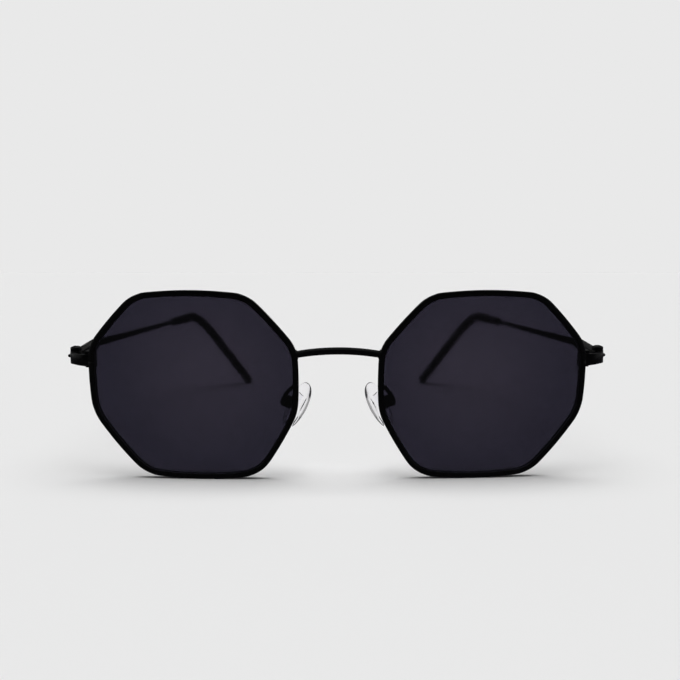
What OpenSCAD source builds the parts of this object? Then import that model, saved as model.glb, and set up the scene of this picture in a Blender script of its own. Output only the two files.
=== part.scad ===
// Octagonal metal-framed sunglasses, open, resting on the lower rims and the temple tips.
// X runs along the front, Y runs back towards the temple tips and Z is up.
// "left" and "right" are as seen from in front: left is -X and right is +X.
// One side is modelled at +X and mirrored for the other. Lengths are in millimetres.

/* [Rim outline] */
// Width of one rim over its outside
rim_outer_w = 52.8; // [46:0.2:58]
// Height of one rim over its outside
rim_outer_h = 48.8; // [44:0.2:54]
// Gap between the two rims at the nose
rim_gap = 19.8; // [16:0.2:24]
// Length of the top edge of the octagon
top_edge = 28.2; // [25:0.2:30]
// Shift of the top edge towards the temple
top_shift = 0.2; // [-1.5:0.1:1.5]
// Length of the bottom edge of the octagon
bottom_edge = 29.6; // [26:0.2:31]
// Shift of the bottom edge towards the temple
bottom_shift = -1.4; // [-2.5:0.1:1]
// Length of the upright edge on the temple side
temple_edge = 17.1; // [14:0.1:19]
// Height of the middle of that edge above the lens centre
temple_edge_rise = 1.9; // [0.5:0.1:2.5]
// Length of the upright edge on the nose side
nose_edge = 16.4; // [14:0.1:18]
// Height of the middle of that edge above the lens centre
nose_edge_rise = 1.7; // [0.5:0.1:2.5]
// Radius of the soft outward bow that all eight edges share
edge_radius = 100; // [75:5:250]
// Radius of the corners
corner_radius = 10; // [7:0.5:11]
// Radius of the two softer corners at the lower ends of the upright edges
low_corner_radius = 13; // [9:0.5:15]

/* [Front] */
// Lean of the front, with its top forward, in degrees
front_tilt = 5; // [0:0.5:9]
// Turn of each lens towards its temple, in degrees
face_wrap = 3; // [0:0.5:6]
// Radius of the ball that the lens surface is part of
base_curve = 265; // [170:5:530]

/* [Rim section] */
// Width of the eyewire, seen from in front
rim_wall = 1.4; // [1.2:0.05:2]
// Depth of the eyewire, front to back
rim_depth = 2; // [1.8:0.05:2.8]
// Rounding of the eyewire's long edges
rim_round = 0.35; // [0.2:0.05:0.45]
// Depth of the groove that holds the lens
groove_depth = 0.5; // [0.35:0.05:0.6]
// Width of that groove at its mouth
groove_mouth = 1.1; // [0.8:0.05:1.2]
// Gap where the rim is split behind its end piece
split_gap = 0.2; // [0.1:0.05:0.4]

/* [Lens] */
// Thickness of the lens
lens_thickness = 1.7; // [1.4:0.1:2.2]
// Play between the lens and its groove
lens_play = 0.06; // [0.03:0.01:0.1]

/* [Bridge] */
// Height of the bridge bar at its ends
bridge_end_h = 1.8; // [1.4:0.1:2.4]
// Height of the bridge bar at its middle
bridge_mid_h = 1.8; // [1.4:0.1:2.4]
// Depth of the bridge bar, front to back
bridge_depth = 1.7; // [1.3:0.1:2]
// Height of the bridge ends above the lens centre
bridge_seat = 8.5; // [4:0.1:10]
// Rise of the bridge over its ends
bridge_arch = 1.1; // [0:0.1:3]
// Forward bow of the bridge over its ends
bridge_bow = 1.6; // [0:0.1:3]

/* [End pieces and rim joints] */
// Height of the rim joints above the table
joint_height = 30.7; // [28:0.1:32]
// Height of the end piece bar
arm_h = 3.1; // [2.8:0.1:4]
// Thickness of the end piece bar
arm_t = 1.25; // [1:0.05:1.6]
// Set-back of the bar behind the front of the rim
arm_setback = 0.6; // [0.4:0.05:0.8]
// Bend radius of the bar on its centre line
arm_bend = 4.4; // [4:0.1:4.8]
// Length of each rim joint block along the rim
lock_h = 2; // [1.6:0.1:2.6]
// Reach of the blocks over the rim, inwards from its outside
lock_inset = 0.65; // [0.5:0.05:1.1]
// Width of the rim joint blocks
lock_w = 2.5; // [2.3:0.1:3]
// Depth of the rim joint blocks
lock_t = 2.1; // [1.9:0.1:2.6]
// Radius of the rim joint screw
lock_screw_r = 0.5; // [0.4:0.05:0.6]
// Radius of the rim joint screw's head
lock_head_r = 0.85; // [0.7:0.05:1]
// Height of that head
lock_head_h = 0.5; // [0.3:0.05:0.7]

/* [Hinges] */
// Distance of the hinge axis outwards from the rim
hinge_out = 5.6; // [5.4:0.1:7]
// Distance of the hinge axis behind the bar's bend
hinge_run = 1.4; // [1.3:0.1:2.5]
// Height of the hinge's middle above the rim joint
hinge_rise = 0.3; // [-0.3:0.1:0.5]
// Radius of the hinge barrel
barrel_r = 1.45; // [1.3:0.05:1.8]
// Height of the hinge barrel, all three knuckles
barrel_h = 2.8; // [2.4:0.1:3.4]
// Step of the barrel's ends beyond the bar
barrel_step = 0.1; // [0.05:0.05:0.2]
// Radius of the hinge screw
pin_r = 0.6; // [0.45:0.05:0.7]
// Radial play of the temple knuckle on the screw
pin_play = 0.03; // [0.02:0.01:0.08]
// Gap between neighbouring knuckles
knuckle_gap = 0.05; // [0.03:0.01:0.1]
// Gap at the square stop that ends the opening of the temple
stop_gap = 0.06; // [0.03:0.01:0.12]
// Radius of the hinge screw's domed head
pin_head_r = 1.4; // [1.1:0.05:1.6]
// Height of the straight part of that head
pin_head_h = 0.9; // [0.5:0.05:1.2]
// Height of the head's dome
pin_dome_h = 0.45; // [0.35:0.05:0.8]
// Width of the driver slots in the screws
slot_w = 0.35; // [0.2:0.05:0.45]
// Depth of the driver slots
slot_depth = 0.3; // [0.15:0.05:0.4]

/* [Temples] */
// Toe-in of the temples, in degrees
toe_in = 4.4; // [0:0.1:6]
// Upward slope of the temples, in degrees
temple_rise = 0.2; // [0:0.1:1.5]
// Height of the temple wire above the hinge's middle
wire_rise = 2; // [1.2:0.1:2.4]
// Width of the temple wire
wire_w = 1.5; // [1.2:0.1:1.8]
// Height of the temple wire at the hinge fitting
wire_front_h = 2.1; // [1.6:0.1:2.2]
// Height of the temple wire in the tip
wire_h = 1.4; // [1.2:0.1:1.7]
// Length of the hinge fitting behind the hinge axis
fitting_len = 12; // [10:0.5:14]
// Length of its front part that keeps one section
fitting_straight = 4.4; // [3:0.1:5]
// Height of the hinge fitting at its front
fitting_h = 2.6; // [2.4:0.1:3]
// Height of its front top above the hinge's middle
fitting_top = 1.25; // [1.1:0.05:1.5]
// Width of the hinge fitting on the inner side of the hinge axis
fitting_inner = 1; // [0.9:0.05:1.2]
// Step of the fitting's outer face inside the barrel's
fitting_inset = 0.06; // [0.04:0.01:0.2]
// Height of the hinge fitting at its rear end
fitting_rear_h = 2.25; // [2.15:0.05:2.6]
// Width of the hinge fitting at its rear end
fitting_rear_w = 2; // [1.8:0.1:2.3]
// Radius of the wire's round end inside the fitting
spigot_r = 0.6; // [0.4:0.05:0.65]
// Length of that end
spigot_len = 4; // [2.5:0.5:5]
// Distance of the side peg behind the hinge axis
peg_back = 2.9; // [2.5:0.1:4]
// Distance of the side peg below the hinge's middle
peg_drop = 0.3; // [-0.2:0.1:0.5]
// Radius of the side peg
peg_r = 0.45; // [0.35:0.05:0.6]
// Reach of the side peg beyond the fitting
peg_reach = 2.3; // [1:0.1:2.6]
// Radius of the peg's shank
peg_shank_r = 0.27; // [0.2:0.01:0.3]
// Depth of the shank in the fitting
peg_depth = 1.3; // [0.6:0.1:1.4]

/* [Temple tips] */
// Distance from the hinge axis to the mouth of the tip
tip_start = 78.4; // [70:0.2:86]
// Distance from the hinge axis to the start of the ear bend
bend_start = 101; // [94:0.5:108]
// Radius of the ear bend
bend_radius = 20; // [15:0.5:25]
// Angle of the ear bend, in degrees
bend_angle = 60; // [50:1:68]
// Inward lean of the plane that the ear bend lies in, in degrees
bend_lean = 28; // [15:1:32]
// Height of the tip's oval section at its mouth
mouth_h = 3; // [2.7:0.1:3.4]
// Width of the tip's oval section at its mouth
mouth_w = 2.8; // [2.7:0.1:3.2]
// Height of that section past the middle of the ear bend
tip_h = 4; // [3.4:0.1:4.6]
// Width of that section past the middle of the ear bend
tip_w = 3.6; // [3:0.1:4]
// Length of the tip that the wire doesn't reach
tip_solid = 8; // [4:0.5:14]
// Play between the wire and the tip's bore
tip_play = 0.05; // [0.02:0.01:0.1]
// Room between the end of the wire and the end of the bore
tip_room = 0.3; // [0.1:0.1:1]
// Rounding of the tip's mouth
tip_mouth = 0.5; // [0.3:0.05:0.6]

/* [Nose pads] */
// Distance of each pad box from the middle of the nose
pad_box_x = 13; // [12.8:0.1:14.5]
// Height of the pad boxes above the table
pad_box_z = 19.7; // [18.5:0.1:21]
// Distance of the pad boxes behind the back of the rim
pad_box_back = 5; // [4.5:0.1:6.5]
// Splay of the pads seen from in front, in degrees
pad_splay = 27; // [18:0.5:30]
// Turn of the pads seen from above, in degrees
pad_turn = 28; // [20:0.5:35]
// Length of a pad
pad_length = 13.2; // [11:0.2:15]
// Width of a pad
pad_width = 7; // [6:0.2:8]
// Thickness of a pad
pad_thickness = 2.8; // [2:0.1:3.2]
// Share by which a pad is wider at its upper end than at its middle
pad_egg = 0.12; // [0:0.01:0.15]
// Drop of the pad's middle below its box
pad_drop = 0.5; // [0.3:0.1:2]
// Gap between a pad and its box
pad_gap = 0.7; // [0.4:0.05:1]
// Radius of the pad box
box_r = 1.6; // [1.5:0.05:1.9]
// Depth of the pad box
box_h = 2.6; // [2.2:0.1:3]
// Thickness of the pad's lug in its box
lug_t = 1.1; // [0.9:0.05:1.2]
// Radius of the lug
lug_r = 0.75; // [0.6:0.05:0.8]
// Side play of the lug in its box
lug_play = 0.08; // [0.05:0.01:0.15]
// Room above and below the lug for the pad to rock
lug_room = 0.25; // [0.2:0.05:0.4]
// Radius of the pad screw
pad_screw_r = 0.4; // [0.3:0.05:0.45]
// Distance of the screw's ends inside the box
pad_screw_inset = 0.2; // [0.1:0.05:0.3]
// Width of the firm core inside a pad
core_w = 2.4; // [1.6:0.1:3]
// Length of the core
core_length = 5.6; // [4:0.2:7]
// Thickness of the core
core_t = 0.6; // [0.4:0.1:0.8]
// Thickness of the pad between its back and the core
core_cover = 0.4; // [0.3:0.05:0.6]

/* [Pad arms] */
// Radius of the arm's wire
pad_arm_r = 0.5; // [0.4:0.05:0.55]
// Height above the table where the arm leaves the rim
pad_arm_z = 24.4; // [23:0.1:26]
// Pull of the arm's curve straight back from the rim
pad_arm_back = 3; // [2:0.1:4]
// Pull of that curve upwards
pad_arm_up = 0.8; // [0.4:0.1:2]
// Pull of the curve where it turns into the back of the box
pad_arm_lead = 1.3; // [0.9:0.1:2.4]

/* [Hidden] */

// Depth that a brazed root sinks into what carries it
braze = 0.15;
// Depth that a knuckle's web runs into its body
root = 0.5;
// Length that a cut runs past what it cuts
over = 1;
// Play of a screw in the hole that it passes or holds
screw_play = 0.02;
// Steps along an edge and round a corner of the outline
edge_steps = 4;
corner_steps = 4;
// Points round a wire, a tip and a pad
wire_points = 12;
tip_points = 14;
pad_points = 20;
$fn = 48;

metal = [0.03, 0.03, 0.035];
tint = [0.14, 0.13, 0.16, 0.9];
plastic = [0.04, 0.04, 0.04];
clear = [0.85, 0.88, 0.92, 0.5];

// Small helpers

function unit(v) = v / norm(v);
function middle(points) = [for (k = [0 : 2]) sum([for (p = points) p[k]]) / len(points)];
function sum(values) = len(values) == 0 ? 0 : [for (i = 0, s = values[0]; i < len(values);
    i = i + 1, s = s + (i < len(values) ? values[i] : 0)) s][len(values) - 1];
// Rise of an arc of radius r over its chord
function sagitta(chord, r) = r - sqrt(r * r - chord * chord / 4);
// An angle within half a turn of another
function near(a, b) = a - 360 * round((a - b) / 360);
function heading(v) = atan2(v[1], v[0]);
function ellipse(w, h, n) = [for (k = [0 : n - 1]) [w / 2 * cos(360 * k / n), h / 2 * sin(360 * k / n)]];
function bezier(t, p) = pow(1 - t, 3) * p[0] + 3 * t * pow(1 - t, 2) * p[1]
    + 3 * t * t * (1 - t) * p[2] + pow(t, 3) * p[3];
function bezier_way(t, p) = unit(pow(1 - t, 2) * (p[1] - p[0]) + 2 * t * (1 - t) * (p[2] - p[1])
    + t * t * (p[3] - p[2]));

// A closed solid through rings that all have as many points
module skin(rings) {
    n = len(rings[0]);
    m = len(rings);
    points = concat([for (r = rings) each r], [middle(rings[0])], [middle(rings[m - 1])]);
    sides = [for (i = [0 : m - 2], j = [0 : n - 1])
        let (a = i * n + j, b = i * n + (j + 1) % n, c = a + n, d = b + n)
        each [[a, c, d], [a, d, b]]];
    first = [for (j = [0 : n - 1]) [j, (j + 1) % n, m * n]];
    last = [for (j = [0 : n - 1]) [(m - 1) * n + (j + 1) % n, (m - 1) * n + j, m * n + 1]];
    polyhedron(points, concat(sides, first, last), convexity = 8);
}

// Outline of a rim: eight bowed edges that meet in rounded corners.
// In its own plane u runs towards the temple and v up from the lens centre.

temple_u = rim_outer_w / 2 - sagitta(temple_edge, edge_radius);
nose_u = sagitta(nose_edge, edge_radius) - rim_outer_w / 2;
top_v = rim_outer_h / 2 - sagitta(top_edge, edge_radius);
bottom_v = sagitta(bottom_edge, edge_radius) - rim_outer_h / 2;
corners = [
    [temple_u, temple_edge_rise + temple_edge / 2],
    [top_shift + top_edge / 2, top_v],
    [top_shift - top_edge / 2, top_v],
    [nose_u, nose_edge_rise + nose_edge / 2],
    [nose_u, nose_edge_rise - nose_edge / 2],
    [bottom_shift - bottom_edge / 2, bottom_v],
    [bottom_shift + bottom_edge / 2, bottom_v],
    [temple_u, temple_edge_rise - temple_edge / 2]];
radii = [for (i = [0 : 7]) i == 4 || i == 7 ? low_corner_radius : corner_radius];

// Centre of the arc that bows the edge from corner i to the next
edge_centre = [for (i = [0 : 7])
    let (a = corners[i], b = corners[(i + 1) % 8], out = unit([b[1] - a[1], a[0] - b[0]]))
    (a + b) / 2 - out * (edge_radius - sagitta(norm(b - a), edge_radius))];
// Centre of the arc that rounds corner i: it touches both edges' arcs from inside
corner_centre = [for (i = [0 : 7])
    let (a = edge_centre[(i + 7) % 8], b = edge_centre[i], way = unit(b - a),
        side = [-way[1], way[0]] * sqrt(pow(edge_radius - radii[i], 2) - pow(norm(b - a) / 2, 2)),
        p = (a + b) / 2 + side, q = (a + b) / 2 - side)
    norm(p - corners[i]) < norm(q - corners[i]) ? p : q];
corner_from = [for (i = [0 : 7]) heading(corner_centre[i] - edge_centre[(i + 7) % 8])];
corner_to = [for (i = [0 : 7]) near(heading(corner_centre[i] - edge_centre[i]), corner_from[i])];
corner_next = [for (i = [0 : 7]) near(corner_from[(i + 1) % 8], corner_to[i])];

// A place on the outline: its point, and the way out from there
function spot(centre, r, a) = [centre + r * [cos(a), sin(a)], [cos(a), sin(a)]];
function edge_spot(i, a) = spot(edge_centre[i], edge_radius, a);
function corner_spots(i) = [for (k = [0 : corner_steps])
    spot(corner_centre[i], radii[i], corner_from[i] + (corner_to[i] - corner_from[i]) * k / corner_steps)];
function edge_spots(i) = [for (k = [1 : edge_steps - 1])
    edge_spot(i, corner_to[i] + (corner_next[i] - corner_to[i]) * k / edge_steps)];

// The rim is split on its temple edge, at the height of the end piece
lens_height = rim_outer_h / 2;
split_v = (joint_height - lens_height * cos(front_tilt)) / cos(front_tilt);
split_angle = asin((split_v - edge_centre[7][1]) / edge_radius);
split_half = split_gap / 2 / edge_radius * 180 / PI;
split_end = near(corner_from[0], split_angle);
spots = concat(
    [edge_spot(7, split_angle + split_half), edge_spot(7, (split_angle + split_half + split_end) / 2)],
    [for (i = [0 : 7]) each concat(corner_spots(i), i < 7 ? edge_spots(i) : [])],
    [for (k = [1 : 3]) edge_spot(7, corner_to[7] + (split_angle - split_half - corner_to[7]) * k / 3)]);

// Turn, lean and place a point of the lens surface: h is the depth behind the surface

lens_x = rim_gap / 2 + rim_outer_w / 2 * cos(face_wrap);
function on_ball(u, v, h) =
    let (w = sqrt(base_curve * base_curve - u * u - v * v) / base_curve)
    [u * (1 - h / base_curve), (base_curve - h) * (1 - w) + h, v * (1 - h / base_curve)];
function turn(p, a) = [p[0] * cos(a) - p[1] * sin(a), p[0] * sin(a) + p[1] * cos(a), p[2]];
function lean(p, a) = [p[0], p[1] * cos(a) - p[2] * sin(a), p[1] * sin(a) + p[2] * cos(a)];
function front_point(u, v, h) = lean(turn(on_ball(u, v, h), face_wrap) + [lens_x, 0, 0], front_tilt);
// A point at a depth d inside the outline and h behind its front
function rim_point(s, d, h) = front_point(s[0][0] - d * s[1][0], s[0][1] - d * s[1][1], h);

// Eyewire section, as depth inside the outline and depth behind the front
rim_section = [
    [0, rim_round],
    [0, rim_depth - rim_round],
    [rim_round * 0.3, rim_depth - rim_round * 0.3],
    [rim_round, rim_depth],
    [rim_wall - rim_round * 0.6, rim_depth],
    [rim_wall, rim_depth - rim_round * 0.6],
    [rim_wall, rim_depth / 2 + groove_mouth / 2],
    [rim_wall - groove_depth, rim_depth / 2],
    [rim_wall, rim_depth / 2 - groove_mouth / 2],
    [rim_wall, rim_round * 0.6],
    [rim_wall - rim_round * 0.6, 0],
    [rim_round, 0],
    [rim_round * 0.3, rim_round * 0.3]];

rim_rings = [for (s = spots) [for (q = rim_section) rim_point(s, q[0], q[1])]];
table_z = min([for (r = rim_rings, p = r) p[2]]);

module rim() color(metal) skin(rim_rings);

// Lens with a bevelled edge that sits in the groove

lens_front = rim_depth / 2 - lens_thickness / 2;
lens_back = rim_depth / 2 + lens_thickness / 2;
lens_inset = rim_wall + lens_play;
bevel_half = groove_mouth / 2 * (1 - lens_play / groove_depth) - lens_play;
bevel_inset = rim_wall - groove_depth + lens_play * 2;
lens_edge = [
    [lens_inset, lens_back],
    [lens_inset, rim_depth / 2 + bevel_half],
    [bevel_inset, rim_depth / 2],
    [lens_inset, rim_depth / 2 - bevel_half],
    [lens_inset, lens_front]];
// Share of the lens that each inner ring spans
lens_rings = [0.35, 0.7];
function lens_ring(share, h) = [for (s = spots)
    let (p = (s[0] - lens_inset * s[1]) * share) front_point(p[0], p[1], h)];

module lens() color(tint) skin(concat(
    [for (k = lens_rings) lens_ring(k, lens_back)],
    [for (q = lens_edge) [for (s = spots) rim_point(s, q[0], q[1])]],
    [for (k = [len(lens_rings) - 1 : -1 : 0]) lens_ring(lens_rings[k], lens_front)]));

// Bridge: a bar that arches up and forward between the rims

// The place on the nose side of the outline at height v
function nose_spot(v) =
    let (side = [for (s = spots) if (s[1][0] < -0.4) s],
        u = lookup(v, [for (s = side) [s[0][1], s[0][0]]]),
        out = lookup(v, [for (s = side) [s[0][1], s[1][1]]]))
    [[u, v], [-sqrt(1 - out * out), out]];

bridge_end = rim_point(nose_spot(bridge_seat), braze, rim_depth / 2);
bridge_steps = 16;

function bridge_ring(k) =
    let (t = 1 - 2 * k / bridge_steps, bow = 1 - t * t,
        h = bridge_mid_h + (bridge_end_h - bridge_mid_h) * t * t)
    [for (q = ellipse(bridge_depth, h, wire_points))
        [-t * bridge_end[0], bridge_end[1] - bridge_bow * bow + q[0], bridge_end[2] + bridge_arch * bow + q[1]]];

bridge_rings = [for (k = [0 : bridge_steps]) bridge_ring(k)];

// Split of the rim and the blocks that close it

joint = edge_spot(7, split_angle);
joint_point = rim_point(joint, 0, 0);
joint_turn = face_wrap + asin(joint[0][0] / base_curve);
lock_out = lock_w / 2 - lock_inset;
lock_back = rim_depth - braze + lock_t / 2;

module at_joint() translate(joint_point) rotate([front_tilt, 0, 0]) rotate([0, 0, joint_turn]) children();

module lock_block(up, hole_r) color(metal) at_joint() difference() {
    translate([lock_out - lock_w / 2, lock_back - lock_t / 2, up > 0 ? split_gap / 2 : -split_gap / 2 - lock_h])
        cube([lock_w, lock_t, lock_h]);
    translate([lock_out, lock_back, up * (split_gap / 2 + lock_h / 2)])
        cylinder(h = lock_h + over, r = hole_r, center = true);
}

module rim_lock_upper() lock_block(1, lock_screw_r + screw_play);

module rim_lock_lower() lock_block(-1, lock_screw_r + screw_play);

module rim_lock_screw() color(metal) at_joint() translate([lock_out, lock_back, 0]) difference() {
    union() {
        translate([0, 0, -split_gap / 2 - lock_h - screw_play])
            cylinder(h = 2 * lock_h + split_gap, r = lock_screw_r);
        translate([0, 0, -split_gap / 2 - lock_h - screw_play - lock_head_h])
            cylinder(h = lock_head_h, r = lock_head_r);
    }
    translate([0, 0, -split_gap / 2 - lock_h - screw_play - lock_head_h])
        cube([slot_w, 2 * lock_head_r + over, 2 * slot_depth], center = true);
}

// Hinge: the end piece carries two knuckles, the temple fitting the one between them

arm_front = rim_point(joint, 0, arm_setback)[1];
arm_y = arm_front + arm_t / 2;
hinge = [joint_point[0] + hinge_out, arm_y + arm_bend + hinge_run, joint_point[2] + hinge_rise];
knuckle_h = barrel_h / 3;
shoulder = barrel_r + stop_gap * 2;
// Distance of the fitting's outer face from the hinge axis
fitting_outer = barrel_r - fitting_inset;
// The bar leaves the rim's outer face, bends back and runs into the barrel
bar_root = rim_point(joint, braze, rim_depth)[0];
bar_low = rim_point(joint, 0, 0)[0] + braze / 2;
bend_centre = [hinge[0] - arm_bend, arm_y + arm_bend];

module at_hinge() translate(hinge) children();

// A block with one rounded corner, whose side lies a distance out beyond the bar's centre line
bar_end = hinge[1] - (pin_r + barrel_r) / 2;
module corner_plan(out, more) {
    translate([bar_root - more, arm_y - out])
        square([bend_centre[0] - bar_root + more, bar_end - arm_y + out + more]);
    translate(bend_centre) circle(r = arm_bend + out);
    translate([bar_root - more, bend_centre[1]])
        square([hinge[0] + out - bar_root + more, bar_end - bend_centre[1] + more]);
}

module bar_plan() difference() {
    corner_plan(arm_t / 2, 0);
    corner_plan(-arm_t / 2, over);
}

// The bar tapers from its height at the rim to a little less than the barrel's
bar_end_h = barrel_h - 2 * barrel_step;
module bar_front() polygon([
    [bar_root, joint_point[2] - arm_h / 2],
    [hinge[0] - barrel_r, hinge[2] - bar_end_h / 2],
    [hinge[0] + barrel_r, hinge[2] - bar_end_h / 2],
    [hinge[0] + barrel_r, hinge[2] + bar_end_h / 2],
    [hinge[0] - barrel_r, hinge[2] + bar_end_h / 2],
    [bar_root, joint_point[2] + arm_h / 2]]);

module end_piece() color(metal) difference() {
    union() {
        intersection() {
            translate([0, 0, hinge[2] - arm_h]) linear_extrude(2 * arm_h) bar_plan();
            translate([0, hinge[1], 0]) rotate([90, 0, 0]) linear_extrude(hinge[1] - arm_front + over) bar_front();
        }
        at_hinge() {
            cylinder(h = barrel_h, r = barrel_r, center = true);
            // Square heels that the fitting's shoulder meets when the temple is open
            rotate([0, 0, toe_in]) translate([0, 0, -barrel_h / 2])
                cube([fitting_outer, shoulder - stop_gap, barrel_h]);
        }
    }
    // Slot for the middle knuckle
    at_hinge() cylinder(h = knuckle_h, r = shoulder + stop_gap, center = true);
    at_hinge() rotate([0, 0, toe_in]) translate([stop_gap, stop_gap, -knuckle_h / 2])
        cube([2 * barrel_r, 2 * barrel_r, knuckle_h]);
    // Hole for the hinge screw
    at_hinge() cylinder(h = barrel_h + over, r = pin_r + screw_play, center = true);
    // Below the split the bar stays clear of the rim, which opens there for the lens
    translate([bar_low - over, arm_front - over, joint_point[2] - arm_h])
        cube([over, arm_t + 2 * over, arm_h + split_gap / 2]);
}

module hinge_screw() color(metal) at_hinge() {
    head_z = barrel_h / 2 + screw_play;
    dome_r = (pin_head_r * pin_head_r + pin_dome_h * pin_dome_h) / (2 * pin_dome_h);
    translate([0, 0, -barrel_h / 2]) cylinder(h = barrel_h + screw_play, r = pin_r);
    difference() {
        translate([0, 0, head_z]) union() {
            cylinder(h = pin_head_h, r = pin_head_r);
            intersection() {
                translate([0, 0, pin_head_h + pin_dome_h - dome_r]) sphere(r = dome_r);
                translate([0, 0, pin_head_h]) cylinder(h = pin_dome_h, r = pin_head_r);
            }
        }
        translate([0, 0, head_z + pin_head_h + pin_dome_h])
            cube([slot_w, 2 * pin_head_r + over, 2 * slot_depth], center = true);
    }
}

// Temple: fitting, wire and tip, along a line that toes in and rises from the hinge

module at_temple() at_hinge() rotate([0, 0, toe_in]) children();

fitting_low = fitting_top - fitting_h;
wire_back_z = wire_rise + fitting_len * tan(temple_rise);
fitting_top_z = wire_back_z + fitting_rear_h / 2;
// Slope of the fitting's top, which the wire's round end follows
fitting_slope = atan((fitting_top_z - fitting_top) / (fitting_len - shoulder));

module fitting_shape() intersection() {
    // Side view
    rotate([90, 0, 90]) translate([0, 0, -2 * barrel_r]) linear_extrude(4 * barrel_r) polygon([
        [shoulder, fitting_low],
        [fitting_straight, fitting_low],
        [fitting_len, wire_back_z - fitting_rear_h / 2],
        [fitting_len, fitting_top_z],
        [shoulder, fitting_top]]);
    // Plan
    translate([0, 0, fitting_low - over]) linear_extrude(fitting_top_z - fitting_low + 2 * over) polygon([
        [-fitting_inner, shoulder],
        [fitting_outer, shoulder],
        [fitting_outer, fitting_straight],
        [fitting_rear_w / 2, fitting_len],
        [-fitting_rear_w / 2, fitting_len]]);
}

module temple_fitting() color(metal) at_temple() difference() {
    union() {
        fitting_shape();
        cylinder(h = knuckle_h - 2 * knuckle_gap, r = barrel_r, center = true);
        translate([-fitting_inner, 0, -knuckle_h / 2 + knuckle_gap])
            cube([fitting_inner + fitting_outer, shoulder + root, knuckle_h - 2 * knuckle_gap]);
    }
    cylinder(h = barrel_h + over, r = pin_r + pin_play, center = true);
    // Socket for the wire's round end
    translate([0, fitting_len, wire_back_z]) rotate([90 + fitting_slope, 0, 0])
        translate([0, 0, -over]) cylinder(h = spigot_len + over + screw_play, r = spigot_r + screw_play);
    // Hole for the side peg
    at_peg() translate([0, 0, -peg_depth - screw_play])
        cylinder(h = peg_depth + over, r = peg_shank_r + screw_play);
}

// On the fitting's outer face, with Z outwards
module at_peg() translate([fitting_outer, peg_back, -peg_drop]) rotate([0, 90, 0]) children();

module temple_peg() color(metal) at_temple() at_peg() {
    translate([0, 0, -peg_depth]) cylinder(h = peg_depth + braze, r = peg_shank_r);
    translate([0, 0, screw_play]) cylinder(h = peg_reach - peg_r, r = peg_r);
    translate([0, 0, screw_play + peg_reach - peg_r]) sphere(r = peg_r);
}

// Frame of the wire's line: along it, and down and inwards in the plane of the ear bend
wire_way = turn([0, cos(temple_rise), sin(temple_rise)], toe_in);
wire_in = turn([-1, 0, 0], toe_in);
wire_down = turn([0, sin(temple_rise), -cos(temple_rise)], toe_in);
bend_down = cos(bend_lean) * wire_down + sin(bend_lean) * wire_in;
bend_side = cross(wire_way, bend_down);
wire_origin = hinge + [0, 0, wire_rise];
bend_len = bend_radius * bend_angle * PI / 180;
bend_end_z = wire_origin[2] + bend_start * wire_way[2] + bend_radius * (sin(bend_angle) * wire_way[2]
    + (1 - cos(bend_angle)) * bend_down[2]);
tip_way_z = cos(bend_angle) * wire_way[2] + sin(bend_angle) * bend_down[2];
// Reach of the tip's rounded end below its centre
tip_foot = norm([tip_h / 2 * cos(bend_lean), tip_w / 2 * sin(bend_lean)]);
// The straight end is as long as it takes to reach the table
tip_drop = (bend_end_z - table_z - tip_foot) / -tip_way_z;
tip_end = bend_start + bend_len + tip_drop;

// Centre, sideways and downward directions of the temple at a distance s from the hinge
function temple_at(s) =
    let (a = s < bend_start ? 0 : min((s - bend_start) / bend_radius * 180 / PI, bend_angle),
        past = max(0, s - bend_start - bend_len),
        way = cos(a) * wire_way + sin(a) * bend_down,
        down = cos(a) * bend_down - sin(a) * wire_way,
        p = wire_origin + min(s, bend_start) * wire_way + past * way
            + bend_radius * (sin(a) * wire_way + (1 - cos(a)) * bend_down),
        // The section stands upright at the mouth of the tip and lies in the bend's plane after it
        twist = bend_lean * (1 - min(1, max(0, (s - tip_start) / (bend_start - tip_start)))))
    [p, cos(twist) * down - sin(twist) * bend_side, cos(twist) * bend_side + sin(twist) * down];
function temple_ring(s, h, w, n) =
    let (f = temple_at(s)) [for (q = ellipse(h, w, n)) f[0] + q[0] * f[1] + q[1] * f[2]];

bend_steps = 8;
function bend_stops(last) = concat(
    [for (k = [0 : bend_steps]) bend_start + bend_len * k / bend_steps], [last]);
wire_end = tip_end - tip_solid;

module temple_wire() color(metal) {
    skin([for (s = concat([fitting_len + screw_play, tip_start, (tip_start + bend_start) / 2],
        bend_stops(wire_end))) temple_ring(s, s < tip_start ? wire_front_h : wire_h, wire_w, wire_points)]);
    at_temple() translate([0, fitting_len, wire_back_z]) rotate([90 + fitting_slope, 0, 0])
        translate([0, 0, -2 * braze]) cylinder(h = spigot_len + 2 * braze, r = spigot_r);
}

// Outside of the tip from its round end to its mouth, then its bore from the mouth inwards
cap_steps = 4;
cap_angle = 82;
tip_bore_h = wire_h + 2 * tip_play;
tip_bore_w = wire_w + 2 * tip_play;
tip_cap = [for (k = [cap_steps : -1 : 0]) let (a = cap_angle * k / cap_steps)
    [tip_end + tip_h / 2 * sin(a), tip_h * cos(a), tip_w * cos(a)]];
// The section grows from the mouth to the middle of the ear bend
tip_full = bend_start + bend_len / 2;
tip_outside = [for (s = [tip_end - tip_solid, each [for (k = [bend_steps : -1 : 0])
    bend_start + bend_len * k / bend_steps], (tip_start + bend_start) / 2, tip_start + tip_mouth])
    let (k = min(1, (s - tip_start) / (tip_full - tip_start)))
    [s, mouth_h + k * (tip_h - mouth_h), mouth_w + k * (tip_w - mouth_w)]];
tip_inside = [for (s = [tip_start, (tip_start + bend_start) / 2, each bend_stops(wire_end + tip_room)])
    [s, tip_bore_h, tip_bore_w]];
tip_profile = concat(tip_cap, tip_outside,
    [[tip_start, mouth_h - tip_mouth, mouth_w - tip_mouth]], tip_inside);

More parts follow.
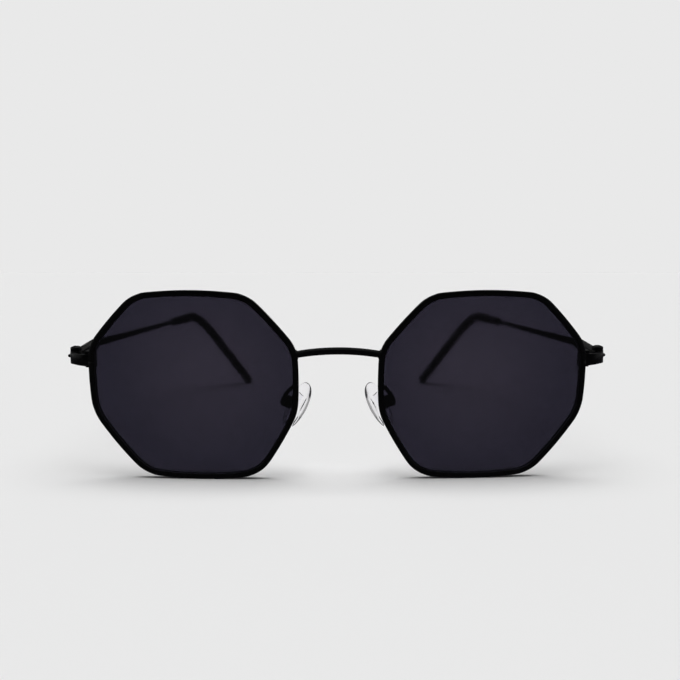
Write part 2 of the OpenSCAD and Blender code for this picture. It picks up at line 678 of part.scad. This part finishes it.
module temple_tip() color(plastic)
    skin([for (q = tip_profile) let (ring = temple_ring(q[0], q[1], q[2], tip_points))
        [for (k = [tip_points - 1 : -1 : 0]) ring[k]]]);

// Nose pads on sprung arms

pad_box = [pad_box_x, front_point(-rim_outer_w / 2, 0, rim_depth)[1] + pad_box_back, pad_box_z + table_z];
pad_normal = [-cos(pad_turn) * cos(pad_splay), sin(pad_turn), -sin(pad_splay) * cos(pad_turn)];
pad_face = box_h / 2 + pad_gap;

// The pad's own axes: X points at the nose, Y back and Z up along the pad
module at_pad() translate(pad_box) rotate([0, -pad_splay, 0]) rotate([0, 0, 180 - pad_turn])
    mirror([0, 1, 0]) children();

arm_root = rim_point(nose_spot((pad_arm_z + table_z) / cos(front_tilt)), rim_wall / 2, rim_depth - braze);
arm_end = pad_box - pad_normal * (box_h / 2 - braze);
arm_route = [arm_root, arm_root + [0, pad_arm_back, pad_arm_up], arm_end - pad_arm_lead * pad_normal, arm_end];
pad_arm_steps = 18;
pad_arm_points = 10;

module pad_arm() color(metal) skin([for (k = [0 : pad_arm_steps])
    let (t = k / pad_arm_steps, p = bezier(t, arm_route), way = bezier_way(t, arm_route),
        e1 = unit(cross([1, 0, 0], way)), e2 = cross(way, e1))
    [for (q = ellipse(2 * pad_arm_r, 2 * pad_arm_r, pad_arm_points)) p + q[0] * e1 + q[1] * e2]]);

module pad_box() color(metal) at_pad() difference() {
    rotate([0, 90, 0]) cylinder(h = box_h, r = box_r, center = true);
    // Slot for the pad's lug, open towards the pad
    translate([-lug_r - lug_play, -lug_t / 2 - lug_play, -lug_r - lug_room])
        cube([box_h + lug_r, lug_t + 2 * lug_play, 2 * (lug_r + lug_room)]);
    rotate([90, 0, 0]) cylinder(h = 2 * box_r + over, r = pad_screw_r + screw_play, center = true);
}

module pad_core() color(clear) at_pad() difference() {
    union() {
        rotate([90, 0, 0]) cylinder(h = lug_t, r = lug_r, center = true);
        translate([0, -lug_t / 2, -lug_r]) cube([pad_face + core_cover, lug_t, 2 * lug_r]);
        translate([pad_face + core_cover, -core_w / 2, -core_length / 2]) cube([core_t, core_w, core_length]);
    }
    rotate([90, 0, 0]) cylinder(h = lug_t + over, r = pad_screw_r + pin_play, center = true);
}

// Share of the pad's outline at each step through its thickness
pad_steps = [[0, 0.8], [0.08, 0.92], [0.25, 1], [0.45, 1], [0.7, 0.93], [0.88, 0.76], [1, 0.45]];
// An egg: the upper end is blunter than the lower one
function pad_outline(share) = [for (k = [0 : pad_points - 1])
    let (a = 360 * k / pad_points, c = cos(a), s = sin(a))
    [share * pad_width / 2 * c * (1 + pad_egg * s), share * pad_length / 2 * s]];

module nose_pad() color(clear) at_pad() difference() {
    skin([for (q = pad_steps) [for (p = pad_outline(q[1]))
        [pad_face + q[0] * pad_thickness, p[0], p[1] - pad_drop]]]);
    // Pocket round the core
    translate([pad_face - over, -lug_t / 2 - screw_play, -lug_r - screw_play])
        cube([over + core_cover, lug_t + 2 * screw_play, 2 * (lug_r + screw_play)]);
    translate([pad_face + core_cover - screw_play, -core_w / 2 - screw_play, -core_length / 2 - screw_play])
        cube([core_t + 2 * screw_play, core_w + 2 * screw_play, core_length + 2 * screw_play]);
}

module pad_screw() color(metal) at_pad() rotate([90, 0, 0])
    cylinder(h = 2 * (box_r - pad_screw_inset), r = pad_screw_r, center = true);

// Placing: the part stands on z = 0 with the middle of its depth at y = 0

front_y = min([for (r = concat(bridge_rings, rim_rings), p = r) p[1]]);
back_y = max([for (q = tip_cap, p = temple_ring(q[0], q[1], q[2], tip_points)) p[1]]);
module placed() translate([0, -(front_y + back_y) / 2, -table_z]) children();
module right() placed() children();
module left() placed() mirror([1, 0, 0]) children();

module bridge() placed() color(metal) skin(bridge_rings);

bridge();
left() rim();  // left_rim
right() rim();  // right_rim
left() lens();  // left_lens
right() lens();  // right_lens
left() end_piece();  // left_end_piece
right() end_piece();  // right_end_piece
left() rim_lock_upper();  // left_rim_lock_upper
right() rim_lock_upper();  // right_rim_lock_upper
left() rim_lock_lower();  // left_rim_lock_lower
right() rim_lock_lower();  // right_rim_lock_lower
left() rim_lock_screw();  // left_rim_lock_screw
right() rim_lock_screw();  // right_rim_lock_screw
left() hinge_screw();  // left_hinge_screw
right() hinge_screw();  // right_hinge_screw
left() temple_fitting();  // left_temple_fitting
right() temple_fitting();  // right_temple_fitting
left() temple_peg();  // left_temple_peg
right() temple_peg();  // right_temple_peg
left() temple_wire();  // left_temple_wire
right() temple_wire();  // right_temple_wire
left() temple_tip();  // left_temple_tip
right() temple_tip();  // right_temple_tip
left() pad_arm();  // left_pad_arm
right() pad_arm();  // right_pad_arm
left() pad_box();  // left_pad_box
right() pad_box();  // right_pad_box
left() pad_core();  // left_pad_core
right() pad_core();  // right_pad_core
left() nose_pad();  // left_nose_pad
right() nose_pad();  // right_nose_pad
left() pad_screw();  // left_pad_screw
right() pad_screw();  // right_pad_screw
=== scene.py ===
"""Octagonal sunglasses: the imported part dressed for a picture, in metres and in the part's own frame."""

import math

import bmesh
import bpy
from mathutils import Euler, Matrix, Vector


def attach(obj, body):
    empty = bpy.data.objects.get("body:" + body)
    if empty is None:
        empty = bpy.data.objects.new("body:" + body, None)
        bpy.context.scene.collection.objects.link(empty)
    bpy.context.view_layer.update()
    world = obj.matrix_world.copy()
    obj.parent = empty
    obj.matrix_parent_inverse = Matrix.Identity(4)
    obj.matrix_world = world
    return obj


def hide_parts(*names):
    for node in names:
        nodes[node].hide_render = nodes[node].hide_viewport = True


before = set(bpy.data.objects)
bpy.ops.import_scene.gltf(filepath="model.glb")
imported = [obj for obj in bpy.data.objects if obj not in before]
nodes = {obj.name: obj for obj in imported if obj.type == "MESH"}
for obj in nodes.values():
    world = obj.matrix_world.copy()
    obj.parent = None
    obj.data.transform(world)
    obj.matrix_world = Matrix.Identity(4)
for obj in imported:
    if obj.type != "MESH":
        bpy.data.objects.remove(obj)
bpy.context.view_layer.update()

MM = 0.001
# Each side's name and the sign of its X
SIDES = {"left": -1, "right": 1}

# Shader nodes

# Most of a noise pattern lies in this span
NOISE_SPAN = (0.3, 0.7)
NOISE_ROUGHNESS = 0.55
RELIEF_DEPTH = 0.04 * MM


def finish_tree(name):
    """A new material with its tree, its Principled shader and one set of object coordinates."""
    finish = bpy.data.materials.new(name)
    finish.use_nodes = True
    tree = finish.node_tree
    shader = tree.nodes["Principled BSDF"]
    place = tree.nodes.new("ShaderNodeTexCoord")
    return finish, tree, shader, place.outputs["Object"]


def grain(tree, place, scale, detail=3):
    """A noise pattern whose scale is in waves to the metre."""
    noise = tree.nodes.new("ShaderNodeTexNoise")
    noise.inputs["Scale"].default_value = scale
    noise.inputs["Detail"].default_value = detail
    noise.inputs["Roughness"].default_value = NOISE_ROUGHNESS
    tree.links.new(place, noise.inputs["Vector"])
    return noise.outputs["Fac"]


def spread(tree, value, to, over=NOISE_SPAN, course="LINEAR"):
    """Turns a value that runs over one span into one that runs over another, and stops at its ends."""
    node = tree.nodes.new("ShaderNodeMapRange")
    node.interpolation_type = course
    for socket, number in zip(("From Min", "From Max", "To Min", "To Max"), (*over, *to)):
        node.inputs[socket].default_value = number
    tree.links.new(value, node.inputs["Value"])
    return node.outputs["Result"]


def blend_colours(tree, value, first, second):
    """The first colour where the value is 0, the second where it is 1."""
    node = tree.nodes.new("ShaderNodeMix")
    node.data_type = "RGBA"
    node.inputs["A"].default_value = (*first, 1)
    node.inputs["B"].default_value = (*second, 1)
    tree.links.new(value, node.inputs["Factor"])
    return node.outputs["Result"]


def reckon(tree, operation, first, second=None):
    """One step of arithmetic on one or two values."""
    node = tree.nodes.new("ShaderNodeMath")
    node.operation = operation
    tree.links.new(first, node.inputs[0])
    if second is not None:
        tree.links.new(second, node.inputs[1])
    return node.outputs["Value"]


def mixed(tree, share, first, second):
    """The first shader where the share is 0, the second where it is 1."""
    node = tree.nodes.new("ShaderNodeMixShader")
    tree.links.new(share, node.inputs["Fac"])
    tree.links.new(first, node.inputs[1])
    tree.links.new(second, node.inputs[2])
    return node.outputs["Shader"]


def relief(tree, shader, height, strength):
    """Raises the surface by a pattern, in its shading only."""
    node = tree.nodes.new("ShaderNodeBump")
    node.inputs["Strength"].default_value = strength
    node.inputs["Distance"].default_value = RELIEF_DEPTH
    tree.links.new(height, node.inputs["Height"])
    tree.links.new(node.outputs["Normal"], shader.inputs["Normal"])


def patterned(tree, shader, pattern, colours, rough):
    """One pattern moves the colour between two tones and the roughness between two values."""
    tree.links.new(blend_colours(tree, pattern, *colours), shader.inputs["Base Color"])
    tree.links.new(spread(tree, pattern, rough), shader.inputs["Roughness"])


def let_light_through(shader, bending):
    """Makes a clear or dyed body, whose base colour is its dye."""
    shader.inputs["Transmission Weight"].default_value = 1.0
    shader.inputs["IOR"].default_value = bending


# Materials


def black_lacquer(name, colours, rough, peel_scale):
    """Stoved black lacquer on metal: a faint orange peel, small gloss changes and soft smears."""
    finish, tree, shader, place = finish_tree(name)
    patterned(tree, shader, grain(tree, place, scale=160, detail=2), colours, rough)
    shader.inputs["IOR"].default_value = 1.36
    relief(tree, shader, grain(tree, place, peel_scale), 0.12)
    return finish


LENS_BENDING = 1.5
# The tint is palest near this place of a lens (X to either side, Z), and painted shade deepens it over this
# distance from it, darkest towards the rim
PALE_X = 33 * MM
PALE_Z = 28.5 * MM
PAINTED_SHADE_REACH = (5 * MM, 24 * MM)
# The lens's tint where it is palest, and the same tint darkened by painted shade
TINT_AND_PAINTED_SHADE_COLOURS = ((0.0363, 0.0318, 0.0477), (0.0226, 0.0206, 0.0335))
CLOUD_COLOURS = ((0.94, 0.94, 0.95), (1.0, 1.0, 1.0))


def lens_tint_with_painted_shade():
    """Smoke tint through the lens, with painted shade that darkens it towards its edge, and a trace of dye
    clouding.
    """
    finish, tree, shader, place = finish_tree("smoke_lens_tint")
    split = tree.nodes.new("ShaderNodeSeparateXYZ")
    tree.links.new(place, split.inputs["Vector"])
    spot = tree.nodes.new("ShaderNodeCombineXYZ")
    tree.links.new(reckon(tree, "ABSOLUTE", split.outputs["X"]), spot.inputs["X"])
    tree.links.new(split.outputs["Z"], spot.inputs["Z"])
    away = tree.nodes.new("ShaderNodeVectorMath")
    away.operation = "DISTANCE"
    away.inputs[1].default_value = (PALE_X, 0, PALE_Z)
    tree.links.new(spot.outputs["Vector"], away.inputs[0])
    # Painted shade: the tint darkens away from its palest place, most towards the rim
    tint_with_painted_shade = blend_colours(tree, spread(tree, away.outputs["Value"], (0, 1), PAINTED_SHADE_REACH), *TINT_AND_PAINTED_SHADE_COLOURS)
    cloud = blend_colours(tree, grain(tree, place, scale=60, detail=2), *CLOUD_COLOURS)
    tint = tree.nodes.new("ShaderNodeMix")
    tint.data_type = "RGBA"
    tint.blend_type = "MULTIPLY"
    tint.inputs["Factor"].default_value = 1.0
    tree.links.new(tint_with_painted_shade, tint.inputs["A"])
    tree.links.new(cloud, tint.inputs["B"])
    tree.links.new(tint.outputs["Result"], shader.inputs["Base Color"])
    let_light_through(shader, LENS_BENDING)
    # Slightly rough, so that what stands far behind the lens looks soft
    softness = spread(tree, grain(tree, place, scale=90, detail=2), (0.05, 0.075))
    tree.links.new(softness, shader.inputs["Roughness"])
    return finish


def ground_edge():
    """The lens's bevel, ground matt and seen dark through the tint."""
    finish, tree, shader, place = finish_tree("ground_lens_edge")
    colours = ((0.0036, 0.0032, 0.0050), (0.0064, 0.0058, 0.0090))
    patterned(tree, shader, grain(tree, place, scale=1800), colours, (0.3, 0.42))
    let_light_through(shader, LENS_BENDING)
    return finish


def sleeve_plastic():
    """Black moulded sleeve, softer in its gloss than the lacquer, with a fine moulded grain."""
    finish, tree, shader, place = finish_tree("black_sleeve_plastic")
    colours = ((0.002, 0.002, 0.0022), (0.005, 0.005, 0.0054))
    patterned(tree, shader, grain(tree, place, scale=240, detail=4), colours, (0.34, 0.5))
    relief(tree, shader, grain(tree, place, scale=3200), 0.15)
    return finish


def pad_silicone():
    """Clear soft silicone with a slightly hazy skin. It bends little light, so that it stays pale."""
    finish, tree, shader, place = finish_tree("clear_pad_silicone")
    haze = grain(tree, place, scale=420)
    patterned(tree, shader, haze, ((0.98, 0.975, 1.0), (1.0, 0.995, 1.0)), (0.015, 0.04))
    let_light_through(shader, 1.1)
    relief(tree, shader, haze, 0.05)
    return finish


def core_plastic():
    """The firmer clear plate inside a pad."""
    finish, tree, shader, place = finish_tree("clear_core_plastic")
    colours = ((0.96, 0.965, 0.975), (0.99, 0.99, 1.0))
    patterned(tree, shader, grain(tree, place, scale=600, detail=2), colours, (0.02, 0.06))
    let_light_through(shader, 1.08)
    return finish


LACQUER = black_lacquer(
    "black_lacquer", ((0.0004, 0.0004, 0.0006), (0.0010, 0.0010, 0.0013)), (0.22, 0.32), 1400
)
SCREW = black_lacquer(
    "blackened_screw", ((0.0008, 0.0008, 0.001), (0.002, 0.002, 0.0024)), (0.26, 0.38), 2600
)
TINT = lens_tint_with_painted_shade()
GROUND = ground_edge()
SLEEVE = sleeve_plastic()
SILICONE = pad_silicone()
CORE = core_plastic()

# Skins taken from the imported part

SAME_POINT = 0.001 * MM
# Subdivisions of a round part, and rounds of fitting its cage
SMOOTH_LEVELS = 2
FITTING_ROUNDS = 4


def merged(name):
    """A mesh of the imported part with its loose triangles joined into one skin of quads."""
    skin = bmesh.new()
    skin.from_mesh(nodes[name].data)
    bmesh.ops.remove_doubles(skin, verts=skin.verts, dist=SAME_POINT)
    bmesh.ops.join_triangles(
        skin,
        faces=skin.faces,
        angle_face_threshold=math.radians(25),
        angle_shape_threshold=math.radians(60),
    )
    return skin


def finished(skin, name, body, finish, stands_for=()):
    """Makes a skin into a piece that rides a body and stands for the named nodes."""
    mesh = bpy.data.meshes.new(name)
    skin.to_mesh(mesh)
    skin.free()
    mesh.shade_smooth()
    piece = bpy.data.objects.new(name, mesh)
    bpy.context.scene.collection.objects.link(piece)
    mesh.materials.append(finish)
    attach(piece, body)
    if stands_for:
        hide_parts(*stands_for)
    return piece


def harden(skin, sharp, crease=1.0):
    """Creases the edges that turn by more than sharp degrees. Full creases show as hard edges."""
    creases = skin.edges.layers.float.new("crease_edge")
    for edge in skin.edges:
        turned = len(edge.link_faces) == 2 and edge.calc_face_angle() > math.radians(sharp)
        edge[creases] = crease if turned else 0.0
        edge.smooth = not (turned and crease == 1)


def drawn_through(piece):
    """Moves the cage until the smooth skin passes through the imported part's own points."""
    points = [vertex.co.copy() for vertex in piece.data.vertices]
    for _ in range(FITTING_ROUNDS):
        graph = bpy.context.evaluated_depsgraph_get()
        skin = piece.evaluated_get(graph).data.vertices
        shifts = [point - skin[i].co for i, point in enumerate(points)]
        for vertex, shift in zip(piece.data.vertices, shifts):
            vertex.co += shift
        piece.data.update()


def row_of(start):
    """The edges that lie side by side with one edge, over the quads between them."""
    row = [start]
    found = {start}
    for edge in row:
        for face in edge.link_faces:
            if len(face.verts) == 4:
                across = next(other for other in face.edges if not set(other.verts) & set(edge.verts))
                if across not in found:
                    found.add(across)
                    row.append(across)
    return row


def cut_short(skin, longest):
    """Cuts rows of long quads into shorter ones, so that the smooth skin bends only where the part does."""
    rows = []
    seen = set()
    for edge in skin.edges:
        if edge.calc_length() > longest and edge not in seen:
            row = row_of(edge)
            seen.update(row)
            rows.append(row)
    for row in rows:
        mean = sum(edge.calc_length() for edge in row) / len(row)
        cuts = max(1, int(mean / longest))
        bmesh.ops.subdivide_edges(skin, edges=row, cuts=cuts, use_grid_fill=True)


def smoothed(node, name, body, finish, slot, sharp, crease=1.0, longest=None):
    """A round part with its facets smoothed away."""
    skin = merged(node)
    if longest:
        cut_short(skin, longest)
    harden(skin, sharp, crease)
    piece = finished(skin, name, body, finish, (node,))
    smooth = piece.modifiers.new("smooth", "SUBSURF")
    smooth.levels = smooth.render_levels = SMOOTH_LEVELS
    drawn_through(piece)
    return piece


# In degrees: faces of a hard part that turn by less than this are made one
FLAT_TURN = 0.8
# An edge of it that turns by more than this is broken
CORNER_TURN = 32
CORNER_SEGMENTS = 2


def softened(node, name, body, finish, slot, radius):
    """A hard part with its corners broken, as lacquer leaves them."""
    skin = merged(node)
    bmesh.ops.dissolve_limit(
        skin, angle_limit=math.radians(FLAT_TURN), verts=skin.verts, edges=skin.edges
    )
    piece = finished(skin, name, body, finish, (node,))
    bevel = piece.modifiers.new("broken_corners", "BEVEL")
    bevel.width = radius
    bevel.segments = CORNER_SEGMENTS
    bevel.limit_method = "ANGLE"
    bevel.angle_limit = math.radians(CORNER_TURN)
    bevel.use_clamp_overlap = True
    bevel.harden_normals = True
    return piece


# The lens faces lie on two balls with one centre
BALL_RADIUS = 265 * MM
LENS_FRONT = 0.15 * MM
LENS_BACK = 1.85 * MM
LENS_CUTS = 3
LENS_SHARP = 20
# The cut in the rim leaves two rays of points on a lens that are closer together than this
DOUBLE_RAY = 0.24 * MM
# The middle point of a face joins more edges than any other
HUB_EDGES = 20
# Cosines of the turn from the lens's own way, of a face's inner points and of the face itself
INNER_FACING = 0.95
FACE_FACING = 0.9


def ball_lens(side):
    """The lens with its rings drawn close, every point of its faces on their balls, and its edge ground."""
    node = f"{side}_lens"
    skin = merged(node)
    bmesh.ops.remove_doubles(skin, verts=skin.verts, dist=DOUBLE_RAY)
    skin.normal_update()
    hubs = [vertex for vertex in skin.verts if len(vertex.link_edges) > HUB_EDGES]
    front, back = sorted(hubs, key=lambda vertex: vertex.co.y)
    way = (front.co - back.co).normalized()
    arms = [
        vertex.co - front.co
        for vertex in skin.verts
        if vertex.normal.dot(way) > INNER_FACING and vertex is not front
    ]
    reach = BALL_RADIUS - LENS_FRONT
    depths = [
        math.sqrt(reach**2 - (arm - arm.dot(way) * way).length_squared) - arm.dot(way) for arm in arms
    ]
    centre = front.co - way * (sum(depths) / len(depths))
    bmesh.ops.subdivide_edges(skin, edges=skin.edges, cuts=LENS_CUTS, use_grid_fill=True)
    skin.normal_update()
    for vertex in skin.verts:
        facing = vertex.normal.dot(way)
        if abs(facing) > FACE_FACING:
            depth = LENS_FRONT if facing > 0 else LENS_BACK
            vertex.co = centre + (vertex.co - centre).normalized() * (BALL_RADIUS - depth)
    # The first material is the tint, the second the ground edge
    for face in skin.faces:
        face.material_index = int(abs(face.normal.dot(way)) < FACE_FACING)
    harden(skin, LENS_SHARP)
    lens = finished(skin, f"{side}_smoke_lens", "front", TINT, (node,))
    lens.data.materials.append(GROUND)
    return lens


# Pieces that stand for nodes

# Round part: the name of its smooth copy, its body, finish and slot, the turn in degrees that counts as an
# edge, how far such an edge is creased, and the length down to which long quads are cut
ROUND_PARTS = {
    "rim": ("eyewire", "front", LACQUER, "black_lacquer", 50, 0.55, None),
    "pad_arm": ("pad_wire", "front", LACQUER, "black_lacquer", 60, 1, None),
    "temple_wire": ("side_wire", "temple", LACQUER, "black_lacquer", 60, 1, 12 * MM),
    "temple_tip": ("ear_sleeve", "temple", SLEEVE, "tip_plastic", 60, 1, 3.5 * MM),
    "nose_pad": ("soft_pad", "pad", SILICONE, "pad_silicone", 60, 1, None),
}

# Hard part: the name of its softened copy, its body, finish, slot and corner radius
HARD_PARTS = {
    "end_piece": ("end_bar", "front", LACQUER, "black_lacquer", 0.12 * MM),
    "rim_lock_upper": ("upper_lock", "front", LACQUER, "black_lacquer", 0.15 * MM),
    "rim_lock_lower": ("lower_lock", "front", LACQUER, "black_lacquer", 0.15 * MM),
    "rim_lock_screw": ("lock_screw", "front", SCREW, "screw_steel", 0.05 * MM),
    "hinge_screw": ("knob_screw", "front", LACQUER, "black_lacquer", 0.1 * MM),
    "temple_fitting": ("hinge_fitting", "temple", LACQUER, "black_lacquer", 0.14 * MM),
    "temple_peg": ("side_peg", "temple", LACQUER, "black_lacquer", 0.04 * MM),
    "pad_box": ("pad_cup", "front", LACQUER, "black_lacquer", 0.12 * MM),
    "pad_screw": ("cup_screw", "front", SCREW, "screw_steel", 0.05 * MM),
}


def body_on(side, body):
    """The front is one body, and each side has its own temple and pad."""
    return body if body == "front" else f"{side}_{body}"


for side in SIDES:
    for part, (name, body, *looks) in ROUND_PARTS.items():
        piece = smoothed(f"{side}_{part}", f"{side}_{name}", body_on(side, body), *looks)
        # Clear as it is, a pad leaves no shadow on the table
        piece.visible_shadow = part != "nose_pad"
    nodes[f"{side}_pad_core"].visible_shadow = False
    ball_lens(side)
smoothed("bridge", "bridge_bar", "front", LACQUER, "black_lacquer", 60)
for part, (name, body, *looks) in HARD_PARTS.items():
    for side in SIDES:
        softened(f"{side}_{part}", f"{side}_{name}", body_on(side, body), *looks)
for side in SIDES:
    for slot in nodes[f"{side}_pad_core"].material_slots:
        slot.material = CORE

# Brazed roots of the bridge and of the pads' wires

BRAZE_STEPS = 5
BRAZE_AROUND = 28
# A ring's section is drawn with the bar's skin at radius 1: from inside the bar out to the hollow's rim
BRAZE_INSIDE = 0.3
BRAZE_RIM = 2


def brazed_root(name, centre, way, bar, flare, sink):
    """A ring of braze with a hollow outer face, round the root of a bar.

    bar and flare give the bar's half width and the hollow's reach, across and up."""
    skin = bmesh.new()
    rise = max(flare)
    loop = [Vector((BRAZE_INSIDE, 0, -sink)), Vector((BRAZE_RIM, 0, -sink))]
    for k in range(BRAZE_STEPS + 1):
        turn = math.radians(90) * k / BRAZE_STEPS
        loop.append(Vector((BRAZE_RIM - math.sin(turn), 0, rise * (1 - math.cos(turn)))))
    loop.append(Vector((BRAZE_INSIDE, 0, rise)))
    corners = [skin.verts.new(point) for point in loop]
    edges = [skin.edges.new((a, b)) for a, b in zip(corners, corners[1:] + corners[:1])]
    bmesh.ops.spin(
        skin,
        geom=corners + edges,
        cent=(0, 0, 0),
        axis=(0, 0, 1),
        dvec=(0, 0, 0),
        angle=math.tau,
        steps=BRAZE_AROUND,
        use_merge=True,
    )
    bmesh.ops.remove_doubles(skin, verts=skin.verts, dist=SAME_POINT / 10)
    for vertex in skin.verts:
        reach = math.hypot(vertex.co.x, vertex.co.y)
        for k in (0, 1):
            vertex.co[k] *= (min(reach, 1) * bar[k] + max(reach - 1, 0) * flare[k]) / reach
    bmesh.ops.recalc_face_normals(skin, faces=skin.faces)
    stand = way.to_track_quat("Z", "Y").to_matrix().to_4x4()
    bmesh.ops.transform(skin, matrix=Matrix.Translation(centre) @ stand, verts=skin.verts)
    finished(skin, name, "front", LACQUER)


def end_of(node, axis, sign, depth):
    """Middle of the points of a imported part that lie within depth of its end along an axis."""
    points = [vertex.co for vertex in nodes[node].data.vertices]
    end = max(sign * getattr(point, axis) for point in points)
    near = [point for point in points if sign * getattr(point, axis) > end - depth]
    return sum(near, Vector()) / len(near)


# Half widths of the bar, reach of the hollow, and depth below the root
BRIDGE_BRAZE = ((0.83 * MM, 0.86 * MM), (0.14 * MM, 0.36 * MM), 0.4 * MM)
PAD_BRAZE = ((0.48 * MM, 0.48 * MM), (0.2 * MM, 0.35 * MM), 0.25 * MM)
# How far up its bar a ring's middle lies from the bar's end
BRIDGE_BRAZE_UP = 0.15 * MM
PAD_BRAZE_UP = 0.1 * MM
# A bar's end is what lies this close to its furthest point
BRIDGE_END = 0.02 * MM
PAD_WIRE_END = 0.3 * MM
# Ways in which the bars leave a rim: the bridge's Y and Z where its X is 1, and the pad wire's
BRIDGE_WAY_YZ = (-0.32, 0.22)
PAD_WIRE_WAY = Vector((0, 0.966, 0.258))

for side, sign in SIDES.items():
    bridge_way = Vector((-sign, *BRIDGE_WAY_YZ)).normalized()
    root = end_of("bridge", "x", sign, BRIDGE_END) + BRIDGE_BRAZE_UP * bridge_way
    brazed_root(f"{side}_bridge_braze", root, bridge_way, *BRIDGE_BRAZE)
    root = end_of(f"{side}_pad_arm", "y", -1, PAD_WIRE_END) + PAD_BRAZE_UP * PAD_WIRE_WAY
    brazed_root(f"{side}_pad_wire_braze", root, PAD_WIRE_WAY, *PAD_BRAZE)

# Floor and light

BACKGROUND = (0.815, 0.815, 0.815, 1)
FLOOR_HALF = 6.0
# What gloss mirrors: a dark table, a dark room in front and behind, softboxes above and at the sides
MIRRORED_FLOOR = (0.05, 0.05, 0.055, 1)
MIRRORED_FRONT = 0.02
MIRRORED_BACK = 0.1
MIRRORED_BOX = 0.28
ROOM_SPAN = (-0.3, 0.5)
BOX_SPAN = (0.55, 0.85)
# Share of the light that comes from all round, and not from the softboxes
WORLD_SHARE = 0.1


def mirrored_ray(tree):
    """A light path's node, and 1 for a ray that has been mirrored, not one that glass has let through."""
    rays = tree.nodes.new("ShaderNodeLightPath")
    return rays, reckon(tree, "SIGN", rays.outputs["Glossy Depth"])


def pale_floor():
    """Pale paper, which gloss mirrors as a dark table."""
    ground = bmesh.new()
    bmesh.ops.create_grid(ground, x_segments=1, y_segments=1, size=FLOOR_HALF)
    mesh = bpy.data.meshes.new("studio_floor")
    ground.to_mesh(mesh)
    ground.free()
    floor = bpy.data.objects.new("studio_floor", mesh)
    bpy.context.scene.collection.objects.link(floor)
    finish, tree, shader, _ = finish_tree("pale_paper")
    shader.inputs["Base Color"].default_value = BACKGROUND
    shader.inputs["Specular IOR Level"].default_value = 0.0
    shader.inputs["Roughness"].default_value = 1.0
    dark = tree.nodes.new("ShaderNodeEmission")
    dark.inputs["Color"].default_value = MIRRORED_FLOOR
    _, mirrored = mirrored_ray(tree)
    whole = mixed(tree, mirrored, shader.outputs["BSDF"], dark.outputs["Emission"])
    tree.links.new(whole, tree.nodes["Material Output"].inputs["Surface"])
    mesh.materials.append(finish)


def studio_world():
    """A plain background, a little soft light, and the dark room that gloss mirrors."""
    world = bpy.data.worlds.new("pale_studio")
    bpy.context.scene.world = world
    world.use_nodes = True
    tree = world.node_tree
    seen = tree.nodes["Background"]
    seen.inputs["Color"].default_value = BACKGROUND
    soft = tree.nodes.new("ShaderNodeBackground")
    soft.inputs["Color"].default_value = (1, 1, 1, 1)
    soft.inputs["Strength"].default_value = WORLD_SHARE
    gloss = tree.nodes.new("ShaderNodeBackground")
    place = tree.nodes.new("ShaderNodeTexCoord")
    split = tree.nodes.new("ShaderNodeSeparateXYZ")
    tree.links.new(place.outputs["Generated"], split.inputs["Vector"])
    room = spread(tree, split.outputs["Y"], (MIRRORED_FRONT, MIRRORED_BACK), ROOM_SPAN, "SMOOTHSTEP")
    aside = reckon(tree, "ABSOLUTE", split.outputs["X"])
    aside_or_up = reckon(tree, "MAXIMUM", aside, split.outputs["Z"])
    box = spread(tree, aside_or_up, (0, MIRRORED_BOX), BOX_SPAN, "SMOOTHSTEP")
    tree.links.new(reckon(tree, "ADD", room, box), gloss.inputs["Color"])
    rays, mirrored = mirrored_ray(tree)
    straight = reckon(tree, "MAXIMUM", rays.outputs["Is Camera Ray"], rays.outputs["Is Transmission Ray"])
    plain = mixed(tree, straight, soft.outputs["Background"], seen.outputs["Background"])
    whole = mixed(tree, mirrored, plain, gloss.outputs["Background"])
    tree.links.new(whole, tree.nodes["World Output"].inputs["Surface"])


# Softboxes overhead, in degrees: their lean towards the camera, their sideways tilts and their width
SOFTBOX_LEAN = 4
SOFTBOX_TILTS = (-18, -6, 6, 18)
SOFTBOX_WIDTH = 38


def top_lights():
    """Softboxes that, with the world's share, light the open floor up to its own colour."""
    aims = [Euler((math.radians(SOFTBOX_LEAN), math.radians(tilt), 0), "YXZ") for tilt in SOFTBOX_TILTS]
    share = sum(aim.to_matrix()[2][2] for aim in aims)
    for tilt, aim in zip(SOFTBOX_TILTS, aims):
        lamp = bpy.data.lights.new(f"softbox_{tilt}", "SUN")
        lamp.energy = (1 - WORLD_SHARE) * math.pi / share
        lamp.angle = math.radians(SOFTBOX_WIDTH)
        ob = bpy.data.objects.new(f"softbox_{tilt}", lamp)
        ob.rotation_mode = "YXZ"
        ob.rotation_euler = aim
        ob.visible_glossy = False
        bpy.context.scene.collection.objects.link(ob)


# Camera

# The rims stand on the table at this Y; the camera's distance is measured from there
RIM_FOOT_Y = -66.77 * MM
CAMERA_BACK = 160.88 * MM
CAMERA_SIDE = -1.4 * MM
CAMERA_HEIGHT = 54.18 * MM
# Degrees below level, and to the right of straight ahead
CAMERA_DOWN = 6.49
CAMERA_RIGHT = 0.66
FOCAL_PIXELS = 642.8
FRAME_PIXELS = 680
SENSOR_WIDTH = 36
CLIP_NEAR = 0.01
CLIP_FAR = 50


def photo_camera():
    """The photograph's view, fitted to the rims, the bridge, the hinges and the temples."""
    camera = bpy.data.cameras.new("photo_camera")
    camera.sensor_fit = "HORIZONTAL"
    camera.sensor_width = SENSOR_WIDTH
    camera.lens = SENSOR_WIDTH * FOCAL_PIXELS / FRAME_PIXELS
    camera.clip_start = CLIP_NEAR
    camera.clip_end = CLIP_FAR
    ob = bpy.data.objects.new("photo_camera", camera)
    bpy.context.scene.collection.objects.link(ob)
    ob.location = (CAMERA_SIDE, RIM_FOOT_Y - CAMERA_BACK, CAMERA_HEIGHT)
    ob.rotation_euler = (math.radians(90 - CAMERA_DOWN), 0, math.radians(-CAMERA_RIGHT))
    bpy.context.scene.camera = ob


pale_floor()
studio_world()
top_lights()
photo_camera()
bpy.context.scene.view_settings.view_transform = "Standard"
